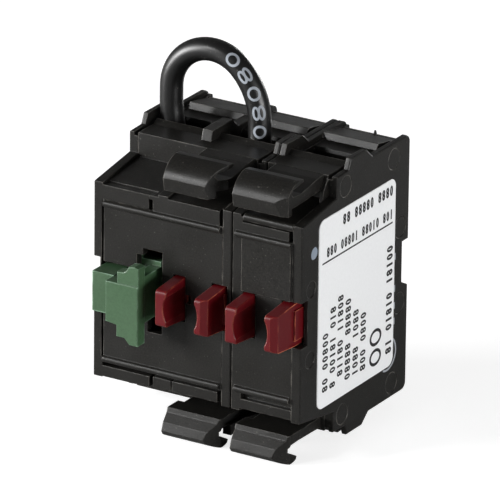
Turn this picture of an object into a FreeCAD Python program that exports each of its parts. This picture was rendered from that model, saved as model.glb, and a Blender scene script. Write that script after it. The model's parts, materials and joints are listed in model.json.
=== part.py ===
"""Self-monitoring contact block: two clip-on modules with three contact elements.

Sizes are in millimetres. While the pieces are built, X runs from the left outer face,
Y runs back from the front rim plane and Z is measured from mid-height. The export
moves every piece so that X is measured from the middle of the width.
"""
import FreeCAD
import Part
import math
import os

V = FreeCAD.Vector

# Widths across the block
ELEMENT_PITCH = 10.0
MODULE_GAP = 0.2
COVER_T = 1.3
PARTING_GAP = 0.05
RIB_T = 1.4
RIGHT_WALL_T = 1.1

# Side outline of the walls, upper half
RIM_Z = 13.0
STEP_Y = 8.2
STEP_LOW_Z = 14.25
STEP_HIGH_Z = 16.95
LIP_FRONT_Y = 10.9
LIP_TOP_Y = 11.5
LIP_Z = 18.4
LIP_REAR_Y = 15.2
BACK_TOP_Y = 16.8
BACK_TOP_Z = 17.1
BACK_Y = 26.0
BACK_ROUND = 1.0
RIB_LIP_FRONT_Y = 10.1
RIB_LIP_TOP_Y = 10.5
LIP_T = 0.7
COVER_SHOULDER_Z = 16.5
EDGE_R = 0.2

# Body outline between the walls, upper half
BODY_RIM_Z = 12.7
BODY_STEP_Z = 13.8
PLATFORM_Z = 17.0
PLATFORM_REAR_Y = 11.6
ENTRY_Y1 = 17.3
ENTRY_EDGE_Z = 17.5
ENTRY_REAR_Z = 15.9
LEDGE_Z = 16.4
LEDGE_REAR_Y = 20.0
BEAM_Y = 20.4
BEAM_Z = 17.25
BODY_BACK_Y = 25.4
BODY_BACK_Z = 16.3
BACK_GROOVE_Y = 24.5
BACK_GROOVE_W = 0.35
BACK_GROOVE_D = 0.6

# Front panel
PANEL_T = 1.2
BEAD_Z = 10.25
BEAD_R = 0.45
BAND_Z = 10.75
BAND_D = 0.7
TOP_TAB_W = 8.0
BOTTOM_TAB_W = 8.2
TAB_GAP = 0.6
TAB_GAP_ROOF = 0.5

# Latches, from the front rim plane
LATCH_SIDE_GAP = 2.25
LATCH_ARM_INSET = 0.9
LATCH_NOSE_Y = -0.66
LATCH_NOSE_DROP = 2.35
LATCH_BULGE_Y = 0.5
LATCH_BULGE_DROP = 0.75
LATCH_LIP_Y = 3.3
LATCH_LIP_RISE = 1.05
LATCH_LIP_T = 0.5
LATCH_FACE_H = 1.7
LATCH_ARM_DROP = 0.8
LATCH_ARM_T = 1.3
LATCH_BEVEL_W = 1.7

# Spaces inside an element
SPRING_HALF_Z = 3.2
SPRING_Y1 = 22.0
CLAMP_H = 4.85
CORE_Y0 = 2.4
CORE_Y1 = 9.4
CORE_WEB_T = 1.85
CORE_SKIN_T = 0.7

# Clamp screws and clamps
SCREW_RISE = 2.25
SCREW_R = 1.75
SCREW_TIP_GAP = 0.05
SCREW_HEAD_L = 2.15
SCREW_HEAD_R = 2.45
HEAD_GAP = 0.05
HEAD_WEB_T = 1.2
SCREW_SLOT_W = 0.8
SCREW_SLOT_D = 1.1
THREAD_FIT = 0.02
SHANK_FIT = 0.07
BORE_R = 2.75
CAGE_Y = 6.6
CAGE_WALL = 0.8
CAGE_SIDE_GAP = 0.3
CAGE_END_GAP = 0.4
CAGE_LOW_GAP = 0.2
CAGE_HIGH_GAP = 0.3
CAGE_TRAVEL = 1.6

# Terminal bars and contacts
STRIP_T = 0.8
STRIP_SIDE_GAP = 0.1
BAR_SIDE_GAP = 0.12
BAR_OVER_CAGE = 0.1
FIXED_LEG_OVERHANG = 0.2
TIP_R = 0.9
TIP_T = 0.5
TIP_INSET = 0.3
BREAK_LEG_Y0 = 5.4
CONTACT_GAP = 0.05
MAKE_BRIDGE_Y0 = 6.05
BRIDGE_HALF_Z = 6.2
BRIDGE_W = 4.0
BRIDGE_T = 0.6
BRIDGE_GAP = 0.15
BRIDGE_END_GAP = 0.35
BRIDGE_SEAT_GAP = 0.1

# Sliders
SLIDER_FRONT_Y = -4.4
CARRIAGE_Y0 = 1.3
CARRIAGE_Y1 = 13.0
CARRIAGE_LEG_GAP = 1.0
CARRIAGE_SIDE_GAP = 0.28
FLANGE_T = 1.2
FLANGE_LEG_GAP = 0.3
CONTACT_SPRING_ROOM = 3.35
PLUNGER_TRAVEL = 4.0
MONITOR_TRAVEL = 2.5
STROKE_GAP = 0.45

# Red plunger prongs
PRONG_SIDE_GAP = 0.15
PRONG_LEFT_W = 1.55
PRONG_RIGHT_W = 1.75
PRONG_EDGE_R = 0.14
LEFT_PLUNGER_SHIFT = 0.645
RIGHT_PLUNGER_SHIFT = 0.425
PRONG_FRONT_HALF_Z = 2.37
PRONG_ROOT_HALF_Z = 2.8
SCOOP_R = 3.6
SCOOP_D = 0.42
SHOULDER_X = 0.25
SHOULDER_Y = -0.3
SHOULDER_HALF_Z = 2.0
LINK_HALF_Z = 2.6
SLOT_FIT = 0.15
SLOT_FIT_Z = 0.22
KEY_NOTCH_W = 0.75

# Green slider, with X measured back from its right side
PLATE_T = 1.66
PLATE_W = 4.7
SLIDER_SIDE_GAP = 0.15
SLIDER_EDGE_R = 0.12
FACE_OUTLINE = [
    (-PLATE_W, 2.1), (-3.1, 2.1), (-3.1, 3.57), (-2.2, 3.65), (-1.85, 3.85), (-1.6, 4.2), (-1.4, 4.53),
    (-0.6, 4.65), (0, 4.5), (0, -5.8), (-1.2, -5.8), (-1.95, -5.0), (-3.1, -5.0), (-3.1, -3.5),
    (-PLATE_W, -3.3),
]
FACE_ARM_Z = (-3.2, 2.1)
WING_Y = -2.65
WING_Z = (-3.1, 2.2)
KNOB_ARM_W = 1.7
KNOB_ARM_Z = (1.0, 2.95)
KNOB_LEDGE_Z = 2.1
KNOB_LEDGE_D = 0.15
MONITOR_FLANGE_Z = (-4.3, 4.0)
MONITOR_FLANGE_X = -3.0
MONITOR_SLOT = [(-PLATE_W - 4.0, -3.5, 2.6), (-2.9, 0, 4.6), (-2.0, 0, 5.49), (-1.3, -5.46, 0)]
MONITOR_SLOT_D = 2.1

# Springs
RETURN_R = 1.75
RETURN_WIRE = 0.4
RETURN_TURNS = 5
CONTACT_R = 1.4
CONTACT_WIRE = 0.35
CONTACT_TURNS = 3
SPRING_PEG_R = 1.15
SPRING_PEG_L = 1.5

# Link wire
WIRE_Y = 14.1
WIRE_R = 1.475
CONDUCTOR_R = 0.69
CONDUCTOR_FIT = 0.02
LIP_WIRE_GAP = 0.325
LOOP_TOP_R = 5.95
LOOP_TOP_Z = 21.6
LOOP_RIGHT_SHIFT = 0.63
LOOP_LEAN_Z = 19.6
LOOP_LEAN_R = 8.0
LOOP_LEAN_DEG = 8.5

# Cover pegs and marks, as (y, z)
PEGS = [(10.3, 15.15), (22.0, 14.97), (23.85, 5.3), (23.85, -4.9), (22.3, -15.15), (10.25, -15.15)]
PEG_R = 1.35
PEG_FIT = 0.05
MARKS = [(2.21, -5.16, 1.1), (2.32, 4.13, 1.1), (3.03, 8.66, 0.85)]
MARK_D = 0.12
FINGER_NOTCH_D = 1.0
FINGER_NOTCH_Y = 1.55
REAR_NOTCH_D = 1.6

# Studs that join the two modules
STUD_Y = 19.0
STUD_Z = 8.0
STUD_R = 1.0
STUD_FIT = 0.03

# Side label
LABEL_Y0 = 3.9
LABEL_Y1 = 22.4
LABEL_Z0 = -12.6
LABEL_Z1 = 12.5
LABEL_T = 0.12
LABEL_R = 1.2

# Places that follow from the sizes above
TOTAL_WIDTH = 3 * ELEMENT_PITCH + MODULE_GAP / 2
LEFT_MODULE_WIDTH = 2 * ELEMENT_PITCH
LATCH_W = ELEMENT_PITCH - LATCH_SIDE_GAP
LATCH_LIP_Z = PLATFORM_Z + LATCH_LIP_RISE
LATCH_NOSE_Z = LATCH_LIP_Z - LATCH_NOSE_DROP
LATCH_BULGE_Z = LATCH_LIP_Z - LATCH_BULGE_DROP
LATCH_FACE_Z = LATCH_NOSE_Z - LATCH_FACE_H
LATCH_ARM_Z1 = PLATFORM_Z - LATCH_ARM_DROP
LATCH_ARM_Z0 = LATCH_ARM_Z1 - LATCH_ARM_T
RIB_X0 = ELEMENT_PITCH + PARTING_GAP - RIB_T / 2
RIB_X1 = RIB_X0 + RIB_T
LEFT_BODY_X0 = COVER_T + PARTING_GAP
LEFT_BODY_X1 = LEFT_MODULE_WIDTH - COVER_T
MIDDLE_COVER_X0 = LEFT_BODY_X1 + PARTING_GAP
RIGHT_BODY_X0 = LEFT_MODULE_WIDTH + MODULE_GAP
RIGHT_CHAMBER_X0 = RIGHT_BODY_X0 + RIGHT_WALL_T
RIGHT_COVER_X0 = TOTAL_WIDTH - COVER_T
RIGHT_BODY_X1 = RIGHT_COVER_X0 - PARTING_GAP
PRONG_SPAN = RIGHT_COVER_X0 - RIGHT_CHAMBER_X0 - PRONG_SIDE_GAP
SLOT_HALF_Z = PRONG_ROOT_HALF_Z + SLOT_FIT_Z
CENTRE_HALF_Z = BRIDGE_HALF_Z + BRIDGE_END_GAP
STRIP_Z0 = CENTRE_HALF_Z + PARTING_GAP
CLAMP_Z0 = STRIP_Z0 + STRIP_T + PARTING_GAP
CLAMP_Z1 = CLAMP_Z0 + CLAMP_H
SCREW_Z = CLAMP_Z0 + SCREW_RISE
TIP_Z = BRIDGE_HALF_Z - TIP_INSET - TIP_R
FIXED_LEG_Z0 = TIP_Z - TIP_R - FIXED_LEG_OVERHANG
CARRIAGE_HALF_Z = FIXED_LEG_Z0 - CARRIAGE_LEG_GAP
FLANGE_HALF_Z = FIXED_LEG_Z0 - FLANGE_LEG_GAP
CORE_Z0 = CENTRE_HALF_Z + CORE_WEB_T
CORE_Z1 = BODY_RIM_Z - CORE_SKIN_T
ENTRY_Y0 = WIRE_Y - WIRE_R - CONDUCTOR_FIT
CAGE_CLOSED_Y0 = WIRE_Y - CONDUCTOR_R - CAGE_WALL - CONDUCTOR_FIT
CLAMP_Y0 = CAGE_CLOSED_Y0 - CAGE_TRAVEL - CAGE_END_GAP
CLAMP_Y1 = CAGE_CLOSED_Y0 + CAGE_Y + CAGE_END_GAP
CAGE_Z0 = CLAMP_Z0 + CAGE_LOW_GAP
CAGE_Z1 = CLAMP_Z1 - CAGE_HIGH_GAP
BAR_Y1 = WIRE_Y + CONDUCTOR_R + CONTACT_GAP + STRIP_T
BAR_Z1 = CAGE_Z1 + BAR_OVER_CAGE
STRIP_END_Z = CLAMP_Z1 + PARTING_GAP
CONDUCTOR_END_Z = CAGE_Z0 + CONTACT_GAP
SCREW_TIP_Y = BAR_Y1 + SCREW_TIP_GAP
HEAD_SEAT_Y = CLAMP_Y1 + HEAD_WEB_T
SCREW_HEAD_Y0 = HEAD_SEAT_Y + HEAD_GAP
SCREW_HEAD_Y1 = SCREW_HEAD_Y0 + SCREW_HEAD_L
BREAK_BRIDGE_Y0 = BREAK_LEG_Y0 + STRIP_T + 2 * TIP_T + CONTACT_GAP
MAKE_TIP_Y0 = MAKE_BRIDGE_Y0 + BRIDGE_T + TIP_T + MONITOR_TRAVEL
CENTRE_Y1 = BREAK_BRIDGE_Y0 + BRIDGE_T + PLUNGER_TRAVEL + STROKE_GAP
SLIDER_X1 = RIB_X0 - SLIDER_SIDE_GAP


class Element:
    """One contact element: its chamber, its slider and the way its contact works."""

    def __init__(self, name, x0, x1, clear_x0, clear_x1, shift, makes):
        self.name = name
        self.x0 = x0
        self.x1 = x1
        self.clear_x0 = clear_x0
        self.clear_x1 = clear_x1
        self.makes = makes
        self.screw_x = (clear_x0 + clear_x1) / 2
        self.prong_x0 = self.screw_x + shift - PRONG_SPAN / 2
        self.prong_x1 = self.screw_x + shift + PRONG_SPAN / 2


MONITOR = Element("monitor", LEFT_BODY_X0, RIB_X0, COVER_T, RIB_X0, 0, True)
LEFT = Element("left", RIB_X1, LEFT_BODY_X1, RIB_X1, MIDDLE_COVER_X0, LEFT_PLUNGER_SHIFT, False)
RIGHT = Element(
    "right", RIGHT_CHAMBER_X0, RIGHT_BODY_X1, RIGHT_CHAMBER_X0, RIGHT_COVER_X0, RIGHT_PLUNGER_SHIFT, False
)
ELEMENTS = [MONITOR, LEFT, RIGHT]


def box(x0, x1, y0, y1, z0, z1):
    """Return a block between two opposite corners."""
    return Part.makeBox(x1 - x0, y1 - y0, z1 - z0, V(x0, y0, z0))


def side_prism(points, x0, x1):
    """Return a side outline given as (y, z) points, pulled along X."""
    corners = [V(x0, y, z) for y, z in points]
    face = Part.Face(Part.makePolygon(corners + corners[:1]))
    return face.extrude(V(x1 - x0, 0, 0))


def front_prism(points, y0, y1):
    """Return a front outline given as (x, z) points, pulled along Y."""
    corners = [V(x, y0, z) for x, z in points]
    face = Part.Face(Part.makePolygon(corners + corners[:1]))
    return face.extrude(V(0, y1 - y0, 0))


def top_prism(points, z0, z1):
    """Return a plan outline given as (x, y) points, pulled along Z."""
    corners = [V(x, y, z0) for x, y in points]
    face = Part.Face(Part.makePolygon(corners + corners[:1]))
    return face.extrude(V(0, 0, z1 - z0))


def rod_x(y, z, radius, x0, x1):
    """Return a round rod along X."""
    return Part.makeCylinder(radius, x1 - x0, V(x0, y, z), V(1, 0, 0))


def rod_y(x, z, radius, y0, y1):
    """Return a round rod along Y."""
    return Part.makeCylinder(radius, y1 - y0, V(x, y0, z), V(0, 1, 0))


def fuse(shapes):
    """Return one solid joined from all the shapes."""
    return shapes[0].multiFuse(shapes[1:]).removeSplitter()


def cut(shape, tools):
    """Return the shape with every tool taken away."""
    return shape.cut(tools).removeSplitter()


def flip(shape):
    """Return the shape mirrored from the top half to the bottom half."""
    return shape.mirror(V(0, 0, 0), V(0, 0, 1))


def round_edges(shape, radius, chosen):
    """Round the edges whose middle point passes the given test."""
    edges = []
    for edge in shape.Edges:
        middle = edge.valueAt((edge.FirstParameter + edge.LastParameter) / 2)
        if chosen(edge, middle):
            edges.append(edge)
    if not edges:
        return shape
    return shape.makeFillet(radius, edges)


def both_halves(upper):
    """Return the closed outline made from an upper half and its mirror image."""
    lower = [(y, -z) for y, z in reversed(upper)]
    return upper + lower


def along_x(edge):
    """Tell whether an edge runs straight along X."""
    box_ = edge.BoundBox
    return box_.YLength < 1e-6 and box_.ZLength < 1e-6


def wall(x0, x1, lip_front, lip_top):
    """Return a full-height wall with the stepped outline and rounded back corners."""
    upper = [
        (0, RIM_Z),
        (STEP_Y, STEP_LOW_Z),
        (STEP_Y, STEP_HIGH_Z),
        (lip_front, STEP_HIGH_Z + 0.1),
        (lip_top, LIP_Z),
        (LIP_REAR_Y, LIP_Z),
        (BACK_TOP_Y, BACK_TOP_Z),
        (BACK_Y, BACK_TOP_Z),
    ]
    solid = side_prism(both_halves(upper), x0, x1)

    def back_corner(edge, middle):
        return along_x(edge) and middle.y > BACK_Y - 0.01 and abs(middle.z) > BACK_TOP_Z - 0.01

    return round_edges(solid, BACK_ROUND, back_corner)


def between_walls(x0, x1):
    """Return the lower part of a body between its walls, with the wire-entry openings."""
    upper = [
        (0, BODY_RIM_Z),
        (STEP_Y, BODY_STEP_Z),
        (STEP_Y, PLATFORM_Z),
        (PLATFORM_REAR_Y, PLATFORM_Z),
        (ENTRY_Y0, ENTRY_EDGE_Z),
        (ENTRY_Y0, CLAMP_Z1),
        (ENTRY_Y1, CLAMP_Z1),
        (ENTRY_Y1, ENTRY_REAR_Z),
        (ENTRY_Y1 + 0.2, LEDGE_Z),
        (LEDGE_REAR_Y, LEDGE_Z),
        (BEAM_Y, BEAM_Z),
        (BODY_BACK_Y, BODY_BACK_Z),
    ]
    solid = side_prism(both_halves(upper), x0, x1)
    groove_y1 = BACK_GROOVE_Y + BACK_GROOVE_W
    groove = box(x0 - 1, x1 + 1, BACK_GROOVE_Y, groove_y1, BODY_BACK_Z - BACK_GROOVE_D, BEAM_Z)
    return cut(solid, [groove, flip(groove)])


def thin_lip(x0, x1):
    """Return the two blocks that take a wall down to its shoulder height."""
    height = LIP_Z + 1 - COVER_SHOULDER_Z
    above = box(x0, x1, -1, BACK_Y + 1, COVER_SHOULDER_Z, COVER_SHOULDER_Z + height)
    return [above, flip(above)]


def element_spaces(element):
    """Return the cutting blocks that hollow out one element of a body."""
    x0 = element.x0
    x1 = element.x1
    tools = [
        box(x0, x1, PANEL_T, CENTRE_Y1, -CENTRE_HALF_Z, CENTRE_HALF_Z),
        box(x0, x1, CENTRE_Y1 - 0.1, SPRING_Y1, -SPRING_HALF_Z, SPRING_HALF_Z),
    ]
    leg_y0 = strip_front(element) - PARTING_GAP
    upper = [
        box(x0, x1, CORE_Y0, CORE_Y1, CORE_Z0, CORE_Z1),
        box(x0, x1, CLAMP_Y0, CLAMP_Y1, CLAMP_Z0, CLAMP_Z1),
        box(x0, x1, leg_y0, BAR_Y1 + PARTING_GAP, CENTRE_HALF_Z - 0.1, CLAMP_Z0),
        rod_y(element.screw_x, SCREW_Z, SCREW_R + SHANK_FIT, CLAMP_Y1 - 0.1, BODY_BACK_Y + 1),
        rod_y(element.screw_x, SCREW_Z, BORE_R, HEAD_SEAT_Y, BODY_BACK_Y + 1),
    ]
    for tool in upper:
        tools.append(tool)
        tools.append(flip(tool))
    return tools


def strip_front(element):
    """Return how far forward the flat strip of a terminal bar reaches."""
    if element.makes:
        return MAKE_TIP_Y0 + TIP_T
    return BREAK_LEG_Y0


def curved_outline(points, bulge, x0, x1):
    """Return an outline whose first side is an arc through the bulge, pulled along X."""
    corners = [V(x0, y, z) for y, z in points]
    edges = [Part.Arc(corners[0], V(x0, *bulge), corners[1]).toShape()]
    for start, end in zip(corners[1:], corners[2:] + corners[:1]):
        edges.append(Part.makeLine(start, end))
    return Part.Face(Part.Wire(edges)).extrude(V(x1 - x0, 0, 0))


def latch_top(x0, x1, arm_x0, bevel_y1):
    """Return an upper latch: a rounded hook on a flat arm that meets the platform."""
    hook = curved_outline([
        (LATCH_NOSE_Y, LATCH_NOSE_Z),
        (LATCH_LIP_Y - 1.0, LATCH_LIP_Z),
        (LATCH_LIP_Y, LATCH_LIP_Z - 0.1),
        (LATCH_LIP_Y, LATCH_LIP_Z - LATCH_LIP_T),
        (LATCH_LIP_Y - 2.4, LATCH_LIP_Z - LATCH_LIP_T - 0.25),
        (0.5, LATCH_LIP_Z - LATCH_LIP_T - 0.7),
        (0.95, LATCH_ARM_Z1 + 0.1),
        (LATCH_LIP_Y, LATCH_ARM_Z1),
        (LATCH_LIP_Y, LATCH_ARM_Z0),
        (0.7, LATCH_ARM_Z0),
        (0.7, LATCH_FACE_Z),
        (-0.4, LATCH_FACE_Z),
    ], (LATCH_BULGE_Y, LATCH_BULGE_Z), x0, x1)
    arm = [(LATCH_LIP_Y - 0.5, LATCH_ARM_Z0), (STEP_Y + 0.5, LATCH_ARM_Z0 + 0.3), (STEP_Y + 0.5, PLATFORM_Z)]
    arm += [(STEP_Y - 1.5, PLATFORM_Z - 0.15), (LATCH_LIP_Y - 0.5, LATCH_ARM_Z1)]
    bevel = [(x1 - LATCH_BEVEL_W, -2), (x1 - LATCH_BEVEL_W, LATCH_NOSE_Y), (x1 + 0.1, bevel_y1), (x1 + 0.1, -2)]
    return cut(
        fuse([hook, side_prism(arm, arm_x0, x1)]),
        [top_prism(bevel, LATCH_FACE_Z - 1, LATCH_LIP_Z + 1)],
    )


def latch_bottom(x0, x1, arm_x0):
    """Return a lower latch: a hook that hangs down, on a flat arm."""
    hook = curved_outline([
        (2.44, -LATCH_LIP_Z - 0.85),
        (-0.35, -LATCH_LIP_Z - 0.5),
        (-0.66, -LATCH_LIP_Z),
        (-0.28, -LATCH_LIP_Z + 1.05),
        (0.6, -LATCH_LIP_Z + 2.15),
        (0.8, -LATCH_ARM_Z0 - 0.4),
        (LATCH_LIP_Y, -LATCH_ARM_Z0 - 0.4),
        (LATCH_LIP_Y, -LATCH_ARM_Z0 - 1.65),
        (1.2, -LATCH_ARM_Z0 - 1.7),
        (0.75, -LATCH_ARM_Z0 - 2.1),
        (0.75, -LATCH_ARM_Z0 - 2.6),
        (2.6, -LATCH_LIP_Z - 0.45),
    ], (0.9, -LATCH_LIP_Z - 1.05), x0, x1)
    root_y = STEP_Y + 0.5
    arm = side_prism([
        (LATCH_LIP_Y - 0.5, -LATCH_ARM_Z0 - 0.4),
        (root_y, -LATCH_ARM_Z0 - 0.4),
        (root_y, -LATCH_ARM_Z0 - 1.8),
        (LATCH_LIP_Y - 0.5, -LATCH_ARM_Z0 - 1.65),
    ], arm_x0, x1)
    bevel = [(x1 - LATCH_BEVEL_W, -2), (x1 - LATCH_BEVEL_W, LATCH_NOSE_Y), (x1 + 0.1, 1.0), (x1 + 0.1, -2)]
    return cut(fuse([hook, arm]), [top_prism(bevel, -LATCH_LIP_Z - 2, -LATCH_ARM_Z0)])


def latch(element):
    """Return the upper and lower latches in front of one element."""
    x0 = element.x0 - 2 * SLIDER_SIDE_GAP
    bevel_y1 = 2.3
    if element is RIGHT:
        x0 = RIGHT_BODY_X0 + MODULE_GAP
        bevel_y1 = -0.1
    x1 = x0 + LATCH_W
    arm_x0 = x0 + LATCH_ARM_INSET
    return [latch_top(x0, x1, arm_x0, bevel_y1), latch_bottom(x0, x1, arm_x0)]


def lower_gusset(x0, x1, y1):
    """Return the curved gusset between a lower latch arm and the edge of its module."""
    depth = y1 - LATCH_LIP_Y
    z0 = -LATCH_ARM_Z0 - 3.0
    middle = V(x0 + 0.35, LATCH_LIP_Y + 0.55 * depth, z0)
    y0 = LATCH_LIP_Y - 0.8
    corners = [V(x0, y0, z0), V(x1, y1, z0), V(x0 - 1.2, y1, z0), V(x0 - 1.2, y0, z0)]
    edges = [Part.Arc(corners[0], middle, corners[1]).toShape()]
    for start, end in zip(corners[1:], corners[2:] + corners[:1]):
        edges.append(Part.makeLine(start, end))
    return Part.Face(Part.Wire(edges)).extrude(V(0, 0, 1.4))


def bead(z, x0, x1):
    """Return a half-round bead standing on the front panel."""
    return rod_x(0.05, z, BEAD_R, x0, x1)


def spring_peg(element):
    """Return the peg on the back wall that centres a return spring."""
    x = carriage_middle(element)
    return rod_y(x, 0, SPRING_PEG_R, SPRING_Y1 - SPRING_PEG_L, SPRING_Y1 + 0.5)


def carriage_middle(element):
    """Return the X position of the middle of a carriage."""
    if element.makes:
        return element.screw_x
    return (element.prong_x0 + carriage_end(element)) / 2


def carriage_end(element):
    """Return the X position of the right side of a carriage."""
    return element.clear_x1 - CARRIAGE_SIDE_GAP


def prong_slots(element):
    """Return the two blocks that open the front panel for a red plunger."""
    left = (element.prong_x0, element.prong_x0 + PRONG_LEFT_W)
    right = (element.prong_x1 - PRONG_RIGHT_W, element.prong_x1 + SHOULDER_X)
    tools = []
    for x0, x1 in (left, right):
        tools.append(box(x0 - SLOT_FIT, x1 + SLOT_FIT, -1, PANEL_T + 0.1, -SLOT_HALF_Z, SLOT_HALF_Z))
    return tools


def monitor_slot():
    """Return the blocks that open the front panel for the monitor slider."""
    x1 = RIB_X0 + RIB_T / 2
    tools = []
    for x, z0, z1 in MONITOR_SLOT:
        tools.append(box(SLIDER_X1 + x, x1, -1, MONITOR_SLOT_D, z0, z1))
    return tools


def left_module_body():
    """Return the body moulding of the left module."""
    x0 = LEFT_BODY_X0
    x1 = LEFT_BODY_X1
    groove_x1 = x0 + SLIDER_SIDE_GAP
    shell = fuse([
        between_walls(x0, x1),
        wall(RIB_X0, RIB_X1, RIB_LIP_FRONT_Y, RIB_LIP_TOP_Y),
        bead(BEAD_Z, groove_x1, x1 - 0.3),
        bead(-BEAD_Z - 0.25, groove_x1, x1 - 0.3),
    ])
    key_x0 = LEFT.prong_x0 + PRONG_LEFT_W
    tools = element_spaces(MONITOR) + element_spaces(LEFT) + monitor_slot() + prong_slots(LEFT)
    tools += [
        box(key_x0, key_x0 + SLOT_FIT + KEY_NOTCH_W, -1, PANEL_T + 0.1, -0.5, 0.65),
        box(x0 - 1, groove_x1, -1, BAND_D + 0.1, -BEAD_Z, BEAD_Z),
        box(x0 - 1, TOP_TAB_W + TAB_GAP, -1, PANEL_T + 0.05, BAND_Z, RIM_Z + 1),
        box(x1 - 0.5, x1 + 1, -1, BAND_D, BAND_Z, RIM_Z + 1),
        box(x0 - 1, x1 + 1, -1, BAND_D, -BAND_Z - 0.6, -BAND_Z - 0.2),
        box(x0 - 1, BOTTOM_TAB_W + TAB_GAP, -1, PANEL_T + 0.05, -RIM_Z - 1, -BAND_Z - 0.2),
        box(RIB_X1 + 0.6, RIB_X1 + 0.8, -1, BAND_D, -RIM_Z - 1, -BAND_Z - 0.2),
        box(x1 - 0.6, x1 + 1, -1, BAND_D, -RIM_Z - 1, -BAND_Z - 0.2),
    ]
    body = cut(shell, tools)
    roof_x0 = TOP_TAB_W + PARTING_GAP
    roof = box(roof_x0, TOP_TAB_W + TAB_GAP + 0.1, 0, PANEL_T + 0.1, BODY_RIM_Z - TAB_GAP_ROOF, BODY_RIM_Z)
    extras = latch(LEFT) + [spring_peg(MONITOR), spring_peg(LEFT), roof]
    extras.append(lower_gusset(x1, LEFT_MODULE_WIDTH, STEP_Y - PARTING_GAP))
    for y, z in PEGS:
        extras.append(rod_x(y, z, PEG_R, MIDDLE_COVER_X0 - 0.5, LEFT_MODULE_WIDTH - 0.02))
        extras.append(rod_x(y, z, PEG_R, 0.02, LEFT_BODY_X0 + 0.5))
    return fuse([body] + extras)


def right_module_body():
    """Return the body moulding of the right module."""
    x0 = RIGHT_BODY_X0
    x1 = RIGHT_BODY_X1
    own_wall = cut(
        wall(x0, RIGHT_CHAMBER_X0, LIP_FRONT_Y, LIP_TOP_Y),
        thin_lip(x0 + LIP_T, RIGHT_CHAMBER_X0 + 1),
    )
    foot = [(11.4, -16.8), (LIP_TOP_Y, -LIP_Z), (LIP_REAR_Y, -LIP_Z), (BACK_TOP_Y, -16.8)]
    side_rib = [(STEP_Y - 1.2, BODY_STEP_Z - 0.5), (STEP_Y - 1.0, PLATFORM_Z - 1.9), (STEP_Y + 0.3, PLATFORM_Z)]
    side_rib += [(STEP_Y + 0.5, BODY_STEP_Z - 0.5)]
    shell = fuse([
        between_walls(RIGHT_CHAMBER_X0 - 0.5, x1),
        own_wall,
        bead(BEAD_Z + 0.1, x0 + 0.4, x1 - 0.2),
        bead(-BEAD_Z + 0.05, x0 + 0.4, x1 - 0.2),
        rod_x(0.35, RIM_Z - 0.35, BEAD_R, x0 + 1.5, x1),
    ])
    tools = element_spaces(RIGHT) + prong_slots(RIGHT)
    tools += [
        box(x1 - 0.6, x1 + 1, -1, BAND_D, BAND_Z, RIM_Z - 0.9),
        box(x0 + 1.3, x1 + 1, -1, BAND_D, RIM_Z - 1.0, RIM_Z - 0.75),
        box(x0 + 1.3, x1 + 1, -1, BAND_D, -BEAD_Z - 1.2, -BEAD_Z - 0.4),
    ]
    body = cut(shell, tools)
    raised = box(RIGHT_CHAMBER_X0 + 0.3, x1 - 0.15, -0.3, 0.5, SLOT_HALF_Z + 0.05, BEAD_Z)
    gate_mark = Part.makeCone(0.3, 0.12, 0.75, V(x1 - 3.2, BODY_BACK_Y - 0.3, BODY_BACK_Z - 0.2))
    extras = latch(RIGHT) + [spring_peg(RIGHT), raised, gate_mark]
    extras.append(side_prism(foot, x1 - 1.75, x1))
    extras.append(side_prism(side_rib, x1 - 0.5, x1))
    for z in (-STUD_Z, STUD_Z):
        extras.append(rod_x(STUD_Y, z, STUD_R, MIDDLE_COVER_X0 + 0.35, x0 + 0.5))
    for y, z in PEGS:
        extras.append(rod_x(y, z, PEG_R, x1 - 0.5, TOTAL_WIDTH - 0.02))
    solid = fuse([body] + extras)
    return cut(solid, [box(RIGHT.prong_x1, TOTAL_WIDTH + 1, -1, PANEL_T + 0.1, -SLOT_HALF_Z, SLOT_HALF_Z)])


def cover(outer_x, inner_x):
    """Return a plain cover plate with thin lips, rounded outer edges and holes for the body pegs."""
    low = min(outer_x, inner_x)
    high = max(outer_x, inner_x)
    plate = wall(low, high, LIP_FRONT_Y, LIP_TOP_Y)

    def outer_edge(edge, middle):
        return abs(middle.x - outer_x) < 1e-6 and not along_x(edge)

    plate = round_edges(plate, EDGE_R, outer_edge)
    if outer_x < inner_x:
        tools = thin_lip(outer_x + LIP_T, inner_x + 1)
    else:
        tools = thin_lip(inner_x - 1, outer_x - LIP_T)
    for y, z in PEGS:
        tools.append(rod_x(y, z, PEG_R + PEG_FIT, low - 1, high + 1))
    return cut(plate, tools)


def prong_recess(element, cover_x0):
    """Return the block that makes room in a cover for the right prong."""
    x1 = element.prong_x1 + SHOULDER_X + SLOT_FIT
    y1 = CARRIAGE_Y0 + FLANGE_T + PLUNGER_TRAVEL + STROKE_GAP
    return box(cover_x0 - 1, x1, -1, y1, -SLOT_HALF_Z, SLOT_HALF_Z)


def left_module_left_cover():
    """Return the left cover with its two front tabs."""
    plate = cover(0, COVER_T)
    tabs = [
        box(COVER_T - 0.5, TOP_TAB_W, 0, PANEL_T, BAND_Z + PARTING_GAP, BODY_RIM_Z),
        box(COVER_T - 0.5, BOTTOM_TAB_W, 0, PANEL_T, -BODY_RIM_Z - 0.2, -BAND_Z - BAND_D),
    ]
    solid = fuse([plate] + tabs)
    return cut(solid, [
        box(-1, FINGER_NOTCH_D, -1, FINGER_NOTCH_Y, -SLOT_HALF_Z, SLOT_HALF_Z),
        box(COVER_T - 0.13, COVER_T + 0.01, -1, BAND_D + 0.1, -BEAD_Z, BEAD_Z),
    ])


def left_module_right_cover():
    """Return the cover between the two modules."""
    plate = cover(LEFT_MODULE_WIDTH, MIDDLE_COVER_X0)
    tools = [prong_recess(LEFT, MIDDLE_COVER_X0)]
    for z in (-STUD_Z, STUD_Z):
        tools.append(rod_x(STUD_Y, z, STUD_R + STUD_FIT, MIDDLE_COVER_X0 - 1, RIGHT_BODY_X0))
    return cut(plate, tools)


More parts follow.
